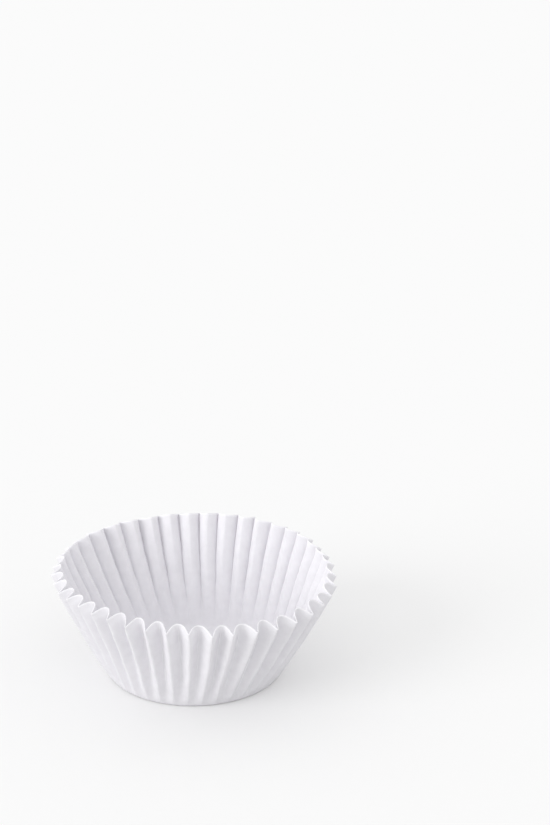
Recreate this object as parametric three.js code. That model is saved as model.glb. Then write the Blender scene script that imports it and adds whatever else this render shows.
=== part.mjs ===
// A pleated paper cupcake liner: one round sheet pressed into a flat base and a flared, pleated wall.
// Units are millimetres and +Z is up. The origin is the middle of the base's underside.
import * as THREE from "three";

// Driving dimensions
const BASE_DIAMETER = 50; // to the corner where the base and an inner fold would meet
const WALL_LENGTH = 34; // paper from that corner to the rim, along an inner fold
const WALL_LEAN_DEG = 21.9; // of an inner fold, away from the vertical
const PLEATS = 42;
const PLEAT_DEPTH = 3.7; // at the rim, square to the wall
const RIM_DIP = 0.35; // how much shorter the paper is along an outer fold
const RIM_CREASE = 2.8; // paper between the rim and the crease that runs round below it
const BASE_EDGE_RADIUS = 1.5; // rolled edge between base and wall, at the middle of the paper
const PAPER_THICKNESS = 0.1;

// How a pleat grows and sharpens on its way up
const DEPTH_POWER = 0.68; // depth goes as this power of the distance up the wall
const WALL_SHARPNESS = 0.4; // below the crease; 0 is a soft zigzag, 1 a keen outer fold between inner arches
const RIM_SHARPNESS = 1;
const FACET = 0.85; // 0 makes the soft pleat a plain wave, 1 a zigzag of flat facets
const ARCH_BREADTH = 1.15; // the higher, the flatter the inner arches and the narrower the keen outer folds

// Fineness of the mesh
const SECTION_TURNS = [0, 0.1, 0.26, 0.5, 0.74, 0.9]; // where a pleat's section has a point, as shares of it
const EDGE_STEPS = 2; // round the rolled base edge
const WALL_ROWS = [0.05, 0.17, 0.4, 0.7]; // shares of the wall between the rolled edge and the crease

const PAPER = { color: 0xe9e7ec, roughness: 0.9, metalness: 0, side: THREE.DoubleSide };

const lean = THREE.MathUtils.degToRad(WALL_LEAN_DEG);
const upWall = new THREE.Vector2(Math.sin(lean), Math.cos(lean));
const outOfWall = new THREE.Vector2(Math.cos(lean), -Math.sin(lean));
const edgeTurn = Math.PI / 2 - lean; // how far the paper turns from the base into the wall
const edgeRun = BASE_EDGE_RADIUS * Math.tan(edgeTurn / 2); // from the sharp corner to the end of the roll
const creaseRun = WALL_LENGTH - RIM_CREASE;

// How far the outer fold stands out of the inner fold's line, square to the wall.
function pleatDepth(distance) {
  const share = (distance - edgeRun) / (WALL_LENGTH - edgeRun);
  return PLEAT_DEPTH * share ** DEPTH_POWER;
}

function pleatSharpness(distance) {
  const inBand = Math.max(0, distance - creaseRun) / RIM_CREASE;
  return THREE.MathUtils.lerp(WALL_SHARPNESS, RIM_SHARPNESS, inBand);
}

// Share of the depth reached at a turn through the pleat: 1 on the outer fold, at turn 0, and 0 on the inner fold.
function pleatShape(turn, sharpness) {
  const soft = 0.5 + Math.asin(FACET * Math.cos(2 * Math.PI * turn)) / (2 * Math.asin(FACET));
  const keen = (1 - Math.abs(Math.sin(Math.PI * turn))) ** ARCH_BREADTH;
  return THREE.MathUtils.lerp(soft, keen, sharpness);
}

// Middle of the paper as (radius, height), at a distance up the wall from the corner and a turn through a pleat.
function wallPoint(distance, turn) {
  const shape = pleatShape(turn, pleatSharpness(distance));
  const dip = distance < WALL_LENGTH ? 0 : RIM_DIP * shape;
  const corner = new THREE.Vector2(BASE_DIAMETER / 2, PAPER_THICKNESS / 2);
  return corner.addScaledVector(upWall, distance - dip).addScaledVector(outOfWall, pleatDepth(distance) * shape);
}

// The same on the rolled edge, at an angle round it from the flat base.
function edgePoint(angle) {
  const flatRadius = BASE_DIAMETER / 2 - edgeRun;
  const height = PAPER_THICKNESS / 2 + BASE_EDGE_RADIUS * (1 - Math.cos(angle));
  return new THREE.Vector2(flatRadius + BASE_EDGE_RADIUS * Math.sin(angle), height);
}

// The rows of the sheet from the flat base to the rim. Each one gives (radius, height) at a turn through a pleat.
function sheetRows() {
  const edgeAngles = Array.from({ length: EDGE_STEPS }, (_, step) => (edgeTurn * step) / EDGE_STEPS);
  const plainWall = WALL_ROWS.map((share) => THREE.MathUtils.lerp(edgeRun, creaseRun, share));
  const distances = [edgeRun, ...plainWall, creaseRun, WALL_LENGTH];
  return [
    ...edgeAngles.map((angle) => () => edgePoint(angle)),
    ...distances.map((distance) => (turn) => wallPoint(distance, turn)),
  ];
}

// The turns round the whole liner at which the sheet has a column of points, counted in pleats.
function sheetTurns() {
  return Array.from({ length: PLEATS }, (_, pleat) => SECTION_TURNS.map((turn) => pleat + turn)).flat();
}

// The middle surface of the paper: its centre point, then row after row of points, with an outer fold at -Y.
function middleSheet() {
  const turns = sheetTurns();
  const rows = sheetRows();
  const positions = [0, 0, PAPER_THICKNESS / 2];
  for (const row of rows) {
    for (const turn of turns) {
      const angle = (2 * Math.PI * turn) / PLEATS - Math.PI / 2;
      const point = row(turn);
      positions.push(point.x * Math.cos(angle), point.x * Math.sin(angle), point.y);
    }
  }
  const at = (row, column) => 1 + row * turns.length + (column % turns.length);
  const index = [];
  turns.forEach((_, column) => {
    index.push(0, at(0, column), at(0, column + 1));
    for (let row = 0; row + 1 < rows.length; row++) {
      const [low, lowNext] = [at(row, column), at(row, column + 1)];
      const [high, highNext] = [at(row + 1, column), at(row + 1, column + 1)];
      index.push(low, high, highNext, low, highNext, lowNext);
    }
  });
  const sheet = new THREE.BufferGeometry();
  sheet.setAttribute("position", new THREE.Float32BufferAttribute(positions, 3));
  sheet.setIndex(index);
  sheet.computeVertexNormals();
  return { sheet, rim: turns.map((_, column) => at(rows.length - 1, column)) };
}

// Gives a sheet its thickness: one skin on each side of it, joined along the rim.
function thicken({ sheet, rim }, thickness) {
  const middle = sheet.getAttribute("position");
  const normal = sheet.getAttribute("normal");
  const positions = [];
  for (const side of [1, -1]) {
    for (let i = 0; i < middle.count; i++) {
      const point = new THREE.Vector3().fromBufferAttribute(middle, i);
      const offset = new THREE.Vector3().fromBufferAttribute(normal, i);
      positions.push(...point.addScaledVector(offset, (side * thickness) / 2));
    }
  }
  const faces = Array.from(sheet.index.array);
  const index = [...faces];
  for (let i = 0; i < faces.length; i += 3) {
    index.push(faces[i] + middle.count, faces[i + 2] + middle.count, faces[i + 1] + middle.count);
  }
  rim.forEach((here, i) => {
    const next = rim[(i + 1) % rim.length];
    index.push(here, here + middle.count, next + middle.count, here, next + middle.count, next);
  });
  const solid = new THREE.BufferGeometry();
  solid.setAttribute("position", new THREE.Float32BufferAttribute(positions, 3));
  solid.setIndex(index);
  solid.computeVertexNormals();
  return solid;
}

function cupcakeLiner() {
  const liner = new THREE.Mesh(thicken(middleSheet(), PAPER_THICKNESS), new THREE.MeshStandardMaterial(PAPER));
  liner.name = "cupcake_liner";
  return liner;
}

const group = new THREE.Group();
group.add(cupcakeLiner());

export default group;
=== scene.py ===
"""A pleated white paper cupcake liner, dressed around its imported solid.

It is a fine sheet with uneven pleats and a crimped rim, of matt paper, on a pale floor in soft daylight.
Lengths are metres, +Z is up and the front is at -Y.
"""

import math

import bmesh
import bpy
import numpy as np
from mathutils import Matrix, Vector


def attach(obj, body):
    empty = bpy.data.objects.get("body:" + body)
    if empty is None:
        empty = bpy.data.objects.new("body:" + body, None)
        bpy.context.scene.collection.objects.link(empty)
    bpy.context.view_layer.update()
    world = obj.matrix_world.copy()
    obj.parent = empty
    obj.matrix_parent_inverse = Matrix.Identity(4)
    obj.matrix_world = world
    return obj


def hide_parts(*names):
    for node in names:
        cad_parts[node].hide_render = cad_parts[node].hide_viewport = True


MM = 0.001

# The liner's own sizes
BASE_RADIUS = 25 * MM  # to the corner where the base and an inner fold would meet
WALL_LENGTH = 34 * MM  # paper from that corner to the rim, along an inner fold
WALL_LEAN = math.radians(21.9)  # of an inner fold, away from the vertical
PLEATS = 42
PLEAT_DEPTH = 3.7 * MM  # at the rim, square to the wall
BASE_EDGE_RADIUS = 1.5 * MM  # rolled edge between base and wall, at the middle of the paper
PAPER = 0.1 * MM
CUT_EDGE = 0.17 * MM  # the cut rim is crushed a little, so it is thicker than the sheet
CUT_REACH = 0.3 * MM  # how far below the rim most of that is gone
CUT_HIGHLIGHT_REACH = 0.35 * MM  # how far below the rim the painted highlight along the cut edge reaches

EDGE_TURN = math.pi / 2 - WALL_LEAN  # how far the paper turns from the base into the wall
EDGE_RUN = BASE_EDGE_RADIUS * math.tan(EDGE_TURN / 2)  # from the sharp corner to the end of the roll
FLAT_RADIUS = BASE_RADIUS - EDGE_RUN
MIDDLE = PAPER / 2  # height of the base at the middle of the paper

# The pleats are loose at the front, and drawn together at the sides and the back. In degrees from the front
LOOSE_TO = 48
TIGHT_FROM = 105
STRAIGHT_FROM = 135  # behind this the pleats run into the rim without a crimp

# Depth of the pleats and length of the paper
DEPTH_POWER = 0.68  # depth goes as this power of the distance up the wall
TIGHT_DEPTH = 0.86  # share of the depth that tight pleats keep
LOOSE_DIP = 0.35 * MM  # how much shorter the paper is along an outer fold
SIDE_DIP = 0.5 * MM  # fades to none where the pleats run straight into the rim

# Section of a pleat: soft at sharpness 0, and at 1 a keen one with narrow outer folds between broad arches
BASE_SHARPNESS = 0.35
LOOSE_SHARPNESS = 0
TIGHT_SHARPNESS = 0.2
RIM_SHARPNESS = 1
LOOSE_FACET = 0.45  # 0 makes the soft section a plain wave, 1 a zigzag of flat facets
TIGHT_FACET = 0.97
BASE_ARCH = 1.6  # the higher, the broader the arches of the keen section
LOOSE_RIM_ARCH = 1.15
TIGHT_RIM_ARCH = 1.9
LOOSE_ROUNDING = 0.1  # how blunt the outer folds of the keen section are
SIDE_ROUNDING = 0.35
LOOSE_PINCH = 0.04  # share of a pleat by which the flanks close on the outer fold
TIGHT_PINCH = 0.08
BASE_TWIST = 0.32  # pleats that the base is turned against the rim

# The rim is a little out of round: pressed in at the front left and back right, let out at the other two
LEAN_SWAY = math.radians(2.8)
PRESSED_AT = math.radians(225)

# How fast each of these comes in up the wall: at 3 it is complete a third of the way up
SECTION_RISE = 3
BULGE_RISE = 4
SWAY_RISE = 2

# The crimped band along the rim starts at a crease that peaks in each arch
BAND_AT_ARCH = 2.9 * MM
BAND_AT_FOLD = 2.6 * MM
BAND_QUICKNESS = 1.3  # the higher, the more of the crimp comes close to the crease

# How uneven the pleats are
TURN_SPREAD = 0.032  # sideways, in pleats
DEPTH_SPREAD = 0.07  # share of the depth
LENGTH_SPREAD = 0.13 * MM
BAND_SPREAD = 0.2  # share of the band's height
ROUND_SPREAD = 0.12 * MM  # the wall as a whole, in and out
ROUND_PLACES = 7
WOBBLE_SPREAD = 0.012  # sideways, in pleats, as a fold goes up
WOBBLE_LEVELS = 7
BULGE_SPREAD = 0.05 * MM  # a flank, in and out
BULGE_LEVELS = 9

# Fineness of the sheet
PLEAT_COLUMNS = 20
FOLD_CROWDING = 0.55
BASE_RINGS = (4 * MM, 8 * MM, 12 * MM, 16 * MM, 20 * MM, 22.5 * MM)
EDGE_STEPS = 5
WALL_ROWS = 40
RIM_CROWDING = 1.35

SEED = 42
rng = np.random.default_rng(SEED)

# Paper
PAPER_DARKER = (0.8, 0.79, 0.82, 1)
PAPER_LIGHTER = (0.84, 0.83, 0.86, 1)
# painted highlight: the cut edge is tinted paler where the rim would catch the light
CUT_HIGHLIGHT_COLOUR = (0.93, 0.925, 0.95, 1)
SURFACE = {"Roughness": 0.85, "Specular IOR Level": 0.25}
MOTTLE = {"Scale": 420, "Detail": 4}
MOTTLE_RANGE = {"From Min": 0.3, "From Max": 0.7}
FIBRES = {"Scale": 2600, "Detail": 3}
FIBRE_BUMP = {"Strength": 0.25, "Distance": 0.05 * MM}
CRUMPLE_BUMP = {"Strength": 0.35, "Distance": 0.2 * MM}

# Floor
FLOOR_REACH = 6.0
FLOOR_GREY = (0.75, 0.75, 0.75, 1)
FLOOR_GLOW = 0.14  # for camera, glossy and transmission rays only

# Soft daylight with a broad key from the upper left
SKY_WHITE = (1, 1, 1, 1)
SKY_STRENGTH = 0.985
KEY_STRENGTH = 1.02
KEY_SPREAD = math.radians(35)
KEY_FROM = (-0.72, -0.46, 0.32)

# The photograph's camera, worked out from the ellipses of the base and the rim
FRAME_HEIGHT_PX = 825
FRAME_CENTRE_PX = (275, 412.5)
FOCAL_PX = 2181
SENSOR = 36  # millimetres, as the lens is
CAMERA_PITCH = math.radians(20.694)
BASE_CENTRE_PX = (195.57, 665.38)
CAMERA_DISTANCE = 25.397 * BASE_RADIUS
CLIP_NEAR = 0.01
CLIP_FAR = 20


def smoothstep(x):
    x = np.clip(x, 0, 1)
    return x * x * (3 - 2 * x)


def lerp(a, b, share):
    return a + (b - a) * share


def ring_noise(places, spread):
    """One smooth random value for each of a ring's places, read at any position counted in places."""
    values = rng.normal(0, spread, places)

    def read(position):
        low = np.floor(position).astype(int)
        blend = smoothstep(position - low)
        return lerp(values[low % places], values[(low + 1) % places], blend)

    return read


def sheet_noise(places, levels, spread):
    """The same over the wall: places round the ring, levels from the base edge to the rim."""
    values = rng.normal(0, spread, (levels + 1, places))

    def read(position, height):
        low = np.floor(position).astype(int)
        across = smoothstep(position - low)
        level = np.clip(height, 0, 1) * levels
        under = np.minimum(np.floor(level).astype(int), levels - 1)
        up = smoothstep(level - under)
        lower = lerp(values[under, low % places], values[under, (low + 1) % places], across)
        upper = lerp(values[under + 1, low % places], values[under + 1, (low + 1) % places], across)
        return lerp(lower, upper, up)

    return read


def column_turns():
    """Positions round the liner, counted in pleats, closer together at the folds."""
    within = np.arange(PLEAT_COLUMNS) / PLEAT_COLUMNS
    crowded = within - FOLD_CROWDING * np.sin(4 * np.pi * within) / (4 * np.pi)
    return (np.arange(PLEATS)[:, None] + crowded[None, :]).ravel()


def pleat_angle(turns):
    """Angle round the liner, with an outer fold at -Y."""
    return 2 * np.pi * turns / PLEATS - np.pi / 2


def pleat_shape(turns, sharpness, arch, facet, rounding):
    """Share of the depth: 1 on the outer fold, 0 in the middle of the inner arch."""
    soft = 0.5 + np.arcsin(facet * np.cos(2 * np.pi * turns)) / (2 * np.arcsin(facet))
    blunt = np.sqrt(np.sin(np.pi * turns) ** 2 + rounding**2) - rounding
    keen = np.clip(1 - blunt / (np.sqrt(1 + rounding**2) - rounding), 0, 1) ** arch
    return lerp(soft, keen, sharpness)


def tightness(turns, start, end):
    """How far the pleats are drawn together: 0 up to one angle from the front, 1 from another one on."""
    from_front = np.abs((turns / PLEATS + 0.5) % 1 - 0.5) * 360
    return smoothstep((from_front - start) / (end - start))


def base_rings():
    """The rings of the flat base and of its rolled edge, each as radius, height and distance to the rim."""
    rings = [(radius, MIDDLE, WALL_LENGTH + BASE_RADIUS - radius) for radius in (*BASE_RINGS, FLAT_RADIUS)]
    for step in range(1, EDGE_STEPS):
        roll = EDGE_TURN * step / EDGE_STEPS
        radius = FLAT_RADIUS + BASE_EDGE_RADIUS * math.sin(roll)
        height = MIDDLE + BASE_EDGE_RADIUS * (1 - math.cos(roll))
        rings.append((radius, height, WALL_LENGTH))
    return rings


def wall_rows(turns):
    """The rows of the pleated wall, each as angles, radii, heights and distances to the rim."""
    turn_wander = ring_noise(2 * PLEATS, TURN_SPREAD)
    depth_wander = ring_noise(PLEATS, DEPTH_SPREAD)
    length_wander = ring_noise(2 * PLEATS, LENGTH_SPREAD)
    band_wander = ring_noise(2 * PLEATS, BAND_SPREAD)
    round_wander = ring_noise(ROUND_PLACES, ROUND_SPREAD)
    fold_wobble = sheet_noise(2 * PLEATS, WOBBLE_LEVELS, WOBBLE_SPREAD)
    panel_bulge = sheet_noise(2 * PLEATS, BULGE_LEVELS, BULGE_SPREAD)

    tight = tightness(turns, LOOSE_TO, TIGHT_FROM)
    back = tightness(turns, TIGHT_FROM, STRAIGHT_FROM)
    facet = lerp(LOOSE_FACET, TIGHT_FACET, tight)
    rim_arch = lerp(LOOSE_RIM_ARCH, TIGHT_RIM_ARCH, tight)
    rounding = lerp(LOOSE_ROUNDING, SIDE_ROUNDING, tight * (1 - back))
    wall_sharpness = lerp(LOOSE_SHARPNESS, TIGHT_SHARPNESS, tight)
    rim_sharpness = lerp(RIM_SHARPNESS, TIGHT_SHARPNESS, back)
    full_pinch = lerp(LOOSE_PINCH, TIGHT_PINCH, tight)

    rim_shape = pleat_shape(turns, RIM_SHARPNESS, rim_arch, facet, rounding)
    fold_dip = lerp(LOOSE_DIP * rim_shape, SIDE_DIP * rim_shape**2, tight) * (1 - back)
    rim_length = WALL_LENGTH - fold_dip + length_wander(2 * turns)
    in_arch = np.abs(np.sin(np.pi * turns))
    band = lerp(BAND_AT_FOLD, BAND_AT_ARCH, in_arch) * (1 + band_wander(2 * turns))

    rows = []
    for share in 1 - (1 - np.linspace(0, 1, WALL_ROWS)) ** RIM_CROWDING:
        distance = lerp(EDGE_RUN, rim_length, share)
        to_rim = rim_length - distance
        in_band = 1 - np.clip(to_rim / band, 0, 1) ** BAND_QUICKNESS
        start = smoothstep(share * SECTION_RISE)

        sharpness = lerp(lerp(BASE_SHARPNESS, wall_sharpness, start), rim_sharpness, in_band)
        shape = pleat_shape(turns, sharpness, lerp(BASE_ARCH, rim_arch, start), facet, rounding)
        depth = PLEAT_DEPTH * share**DEPTH_POWER * lerp(1, TIGHT_DEPTH, tight) * (1 + depth_wander(turns))
        bulge = panel_bulge(2 * turns, share) + round_wander(turns * ROUND_PLACES / PLEATS) * share
        out = depth * shape + smoothstep(share * BULGE_RISE) * bulge

        wander = (turn_wander(2 * turns) + fold_wobble(2 * turns, share)) * start
        pinch = full_pinch * np.maximum(in_band, tight * start)
        shift = wander - BASE_TWIST * (1 - share) ** 2 - pinch * np.sin(2 * np.pi * turns)
        angles = pleat_angle(turns + shift)

        sway = LEAN_SWAY * np.cos(2 * (angles - PRESSED_AT)) * smoothstep(share * SWAY_RISE)
        lean = WALL_LEAN - sway
        radii = BASE_RADIUS + distance * np.sin(lean) + out * np.cos(lean)
        heights = MIDDLE + distance * np.cos(lean) - out * np.sin(lean)
        rows.append((angles, radii, heights, to_rim))
    return rows


def liner_sheet():
    """Middle of the paper as rows of points from the base out to the rim, and each point's distance to the rim."""
    turns = column_turns()
    base = [(pleat_angle(turns), *(np.full_like(turns, value) for value in ring)) for ring in base_rings()]
    angles, radii, heights, to_rim = (np.array(part) for part in zip(*base, *wall_rows(turns)))
    points = np.stack([radii * np.cos(angles), radii * np.sin(angles), heights], axis=-1)
    return points, to_rim


def sheet_normals(points):
    """Unit normals of the sheet, towards the inside of the liner."""
    round_way = np.roll(points, -1, axis=1) - np.roll(points, 1, axis=1)
    up_way = np.gradient(points, axis=0)
    normals = np.cross(round_way, up_way)
    normals = -normals / np.linalg.norm(normals, axis=-1, keepdims=True)
    normals[: len(BASE_RINGS)] = (0, 0, 1)
    return normals


def liner_mesh():
    """The sheet with its thickness: an inner and an outer skin, joined along the rim."""
    points, to_rim = liner_sheet()
    normals = sheet_normals(points)
    half = (PAPER + (CUT_EDGE - PAPER) * np.exp(-((to_rim / CUT_REACH) ** 2))) / 2
    inner = points + normals * half[..., None]
    outer = points - normals * half[..., None]
    centres = [[0, 0, PAPER], [0, 0, 0]]
    vertices = np.concatenate([inner.reshape(-1, 3), outer.reshape(-1, 3), centres])

    rows, columns = to_rim.shape
    skin = rows * columns
    here = np.arange(skin).reshape(rows, columns)
    right = np.roll(here, -1, axis=1)
    inside = np.stack([here[:-1], right[:-1], right[1:], here[1:]], axis=-1).reshape(-1, 4)[:, ::-1]
    outside = inside[:, ::-1] + skin
    rim = np.stack([here[-1], here[-1] + skin, right[-1] + skin, right[-1]], axis=-1)
    centre_top, centre_under = 2 * skin, 2 * skin + 1
    fans = [(centre_top, a, b) for a, b in zip(here[0], right[0])]
    fans += [(centre_under, b + skin, a + skin) for a, b in zip(here[0], right[0])]
    faces = [tuple(map(int, face)) for face in (*inside, *outside, *rim, *fans)]

    mesh = bpy.data.meshes.new("liner_paper")
    mesh.from_pydata([tuple(map(float, vertex)) for vertex in vertices], [], faces)
    mesh.update()
    # mask of the painted highlight along the cut rim, strongest at the rim and fading below it
    edge = np.exp(-((to_rim / CUT_HIGHLIGHT_REACH) ** 2)).reshape(-1)
    values = np.concatenate([edge, edge, [0, 0]]).astype(np.float32)
    mesh.attributes.new("cut_highlight", "FLOAT", "POINT").data.foreach_set("value", values)
    return mesh


def fix_facing(mesh):
    """Turns every face outwards and shades the mesh smooth."""
    work = bmesh.new()
    work.from_mesh(mesh)
    bmesh.ops.recalc_face_normals(work, faces=work.faces)
    work.to_mesh(mesh)
    work.free()
    for polygon in mesh.polygons:
        polygon.use_smooth = True


def add_node(nodes, kind, inputs):
    node = nodes.new(kind)
    for name, value in inputs.items():
        node.inputs[name].default_value = value
    return node


def add_colour_mix(nodes, colours):
    """A node that goes from colour A to colour B with its factor."""
    mix = nodes.new("ShaderNodeMix")
    mix.data_type = "RGBA"
    for name, colour in colours.items():
        mix.inputs[name].default_value = colour
    return mix


def add_sum(nodes, links, a, b):
    node = nodes.new("ShaderNodeMath")
    node.operation = "ADD"
    links.new(a, node.inputs[0])
    links.new(b, node.inputs[1])
    return node


def paper_material():
    """Matt paper: a faint mottle, a painted highlight in a paler colour along the cut edge, and fibres and
    crumples too fine for the mesh.
    """
    material = bpy.data.materials.new("white_paper")
    material.use_nodes = True
    nodes, links = material.node_tree.nodes, material.node_tree.links
    shader = nodes["Principled BSDF"]
    for name, value in SURFACE.items():
        shader.inputs[name].default_value = value

    place = nodes.new("ShaderNodeTexCoord")
    mottle = add_node(nodes, "ShaderNodeTexNoise", MOTTLE)
    links.new(place.outputs["Object"], mottle.inputs["Vector"])
    tone = add_node(nodes, "ShaderNodeMapRange", MOTTLE_RANGE)
    links.new(mottle.outputs["Fac"], tone.inputs["Value"])
    sheet = add_colour_mix(nodes, {"A": PAPER_DARKER, "B": PAPER_LIGHTER})
    links.new(tone.outputs["Result"], sheet.inputs["Factor"])
    # painted highlight along the cut rim: the paler colour comes in where the mask is high
    edge = nodes.new("ShaderNodeAttribute")
    edge.attribute_name = "cut_highlight"
    rim = add_colour_mix(nodes, {"B": CUT_HIGHLIGHT_COLOUR})
    links.new(edge.outputs["Fac"], rim.inputs["Factor"])
    links.new(sheet.outputs["Result"], rim.inputs["A"])
    links.new(rim.outputs["Result"], shader.inputs["Base Color"])

    fibres = add_node(nodes, "ShaderNodeTexNoise", FIBRES)
    links.new(place.outputs["Object"], fibres.inputs["Vector"])
    fibre_bump = add_node(nodes, "ShaderNodeBump", FIBRE_BUMP)
    links.new(fibres.outputs["Fac"], fibre_bump.inputs["Height"])
    crumple_bump = add_node(nodes, "ShaderNodeBump", CRUMPLE_BUMP)
    links.new(mottle.outputs["Fac"], crumple_bump.inputs["Height"])
    links.new(fibre_bump.outputs["Normal"], crumple_bump.inputs["Normal"])
    links.new(crumple_bump.outputs["Normal"], shader.inputs["Normal"])
    return material


def liner():
    mesh = liner_mesh()
    fix_facing(mesh)
    mesh.materials.append(paper_material())
    piece = bpy.data.objects.new("liner_paper", mesh)
    bpy.context.scene.collection.objects.link(piece)
    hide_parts("cupcake_liner")
    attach(piece, "root")


def camera():
    """A camera that puts the middle of the base where it lies in the photograph's frame."""
    data = bpy.data.cameras.new("camera")
    data.sensor_fit = "VERTICAL"
    data.sensor_height = SENSOR
    data.sensor_width = SENSOR
    data.lens = FOCAL_PX * SENSOR / FRAME_HEIGHT_PX
    data.clip_start = CLIP_NEAR
    data.clip_end = CLIP_FAR
    eye = bpy.data.objects.new("camera", data)
    bpy.context.scene.collection.objects.link(eye)
    forward = Vector((0, math.cos(CAMERA_PITCH), -math.sin(CAMERA_PITCH)))
    up = Vector((0, math.sin(CAMERA_PITCH), math.cos(CAMERA_PITCH)))
    right = Vector((1, 0, 0))
    across = (BASE_CENTRE_PX[0] - FRAME_CENTRE_PX[0]) / FOCAL_PX
    down = (BASE_CENTRE_PX[1] - FRAME_CENTRE_PX[1]) / FOCAL_PX
    ray = (forward + right * across - up * down).normalized()
    eye.location = -ray * CAMERA_DISTANCE
    eye.rotation_euler = (math.pi / 2 - CAMERA_PITCH, 0, 0)
    bpy.context.scene.camera = eye


def floor_material():
    """Matt grey that takes the shadow, with a glow that diffuse rays don't see."""
    material = bpy.data.materials.new("pale_floor")
    material.use_nodes = True
    nodes, links = material.node_tree.nodes, material.node_tree.links
    nodes.clear()
    matt = add_node(nodes, "ShaderNodeBsdfDiffuse", {"Color": FLOOR_GREY})
    path = nodes.new("ShaderNodeLightPath")
    mirrored = add_sum(nodes, links, path.outputs["Is Glossy Ray"], path.outputs["Is Transmission Ray"])
    seen = add_sum(nodes, links, path.outputs["Is Camera Ray"], mirrored.outputs["Value"])
    level = nodes.new("ShaderNodeMath")
    level.operation = "MULTIPLY"
    level.inputs[1].default_value = FLOOR_GLOW
    links.new(seen.outputs["Value"], level.inputs[0])
    glow = nodes.new("ShaderNodeEmission")
    links.new(level.outputs["Value"], glow.inputs["Strength"])
    both = nodes.new("ShaderNodeAddShader")
    links.new(matt.outputs["BSDF"], both.inputs[0])
    links.new(glow.outputs["Emission"], both.inputs[1])
    output = nodes.new("ShaderNodeOutputMaterial")
    links.new(both.outputs["Shader"], output.inputs["Surface"])
    return material


def floor():
    mesh = bpy.data.meshes.new("floor")
    corners = [(x * FLOOR_REACH, y * FLOOR_REACH, 0) for x, y in ((-1, -1), (1, -1), (1, 1), (-1, 1))]
    mesh.from_pydata(corners, [], [(0, 1, 2, 3)])
    mesh.materials.append(floor_material())
    ground = bpy.data.objects.new("floor", mesh)
    bpy.context.scene.collection.objects.link(ground)


def light():
    world = bpy.data.worlds.new("daylight")
    world.use_nodes = True
    sky = world.node_tree.nodes["Background"]
    sky.inputs["Color"].default_value = SKY_WHITE
    sky.inputs["Strength"].default_value = SKY_STRENGTH
    bpy.context.scene.world = world
    data = bpy.data.lights.new("key", "SUN")
    data.energy = KEY_STRENGTH
    data.angle = KEY_SPREAD
    key = bpy.data.objects.new("key", data)
    key.rotation_euler = Vector(KEY_FROM).to_track_quat("Z", "Y").to_euler()
    bpy.context.scene.collection.objects.link(key)


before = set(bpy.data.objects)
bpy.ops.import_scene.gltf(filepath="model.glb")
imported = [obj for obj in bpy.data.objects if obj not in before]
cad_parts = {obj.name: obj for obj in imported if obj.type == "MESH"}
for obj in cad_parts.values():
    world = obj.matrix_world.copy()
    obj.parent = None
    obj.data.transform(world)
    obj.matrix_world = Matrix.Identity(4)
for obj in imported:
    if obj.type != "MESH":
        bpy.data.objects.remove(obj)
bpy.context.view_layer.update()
camera()
liner()
floor()
light()
bpy.context.scene.view_settings.view_transform = "Standard"
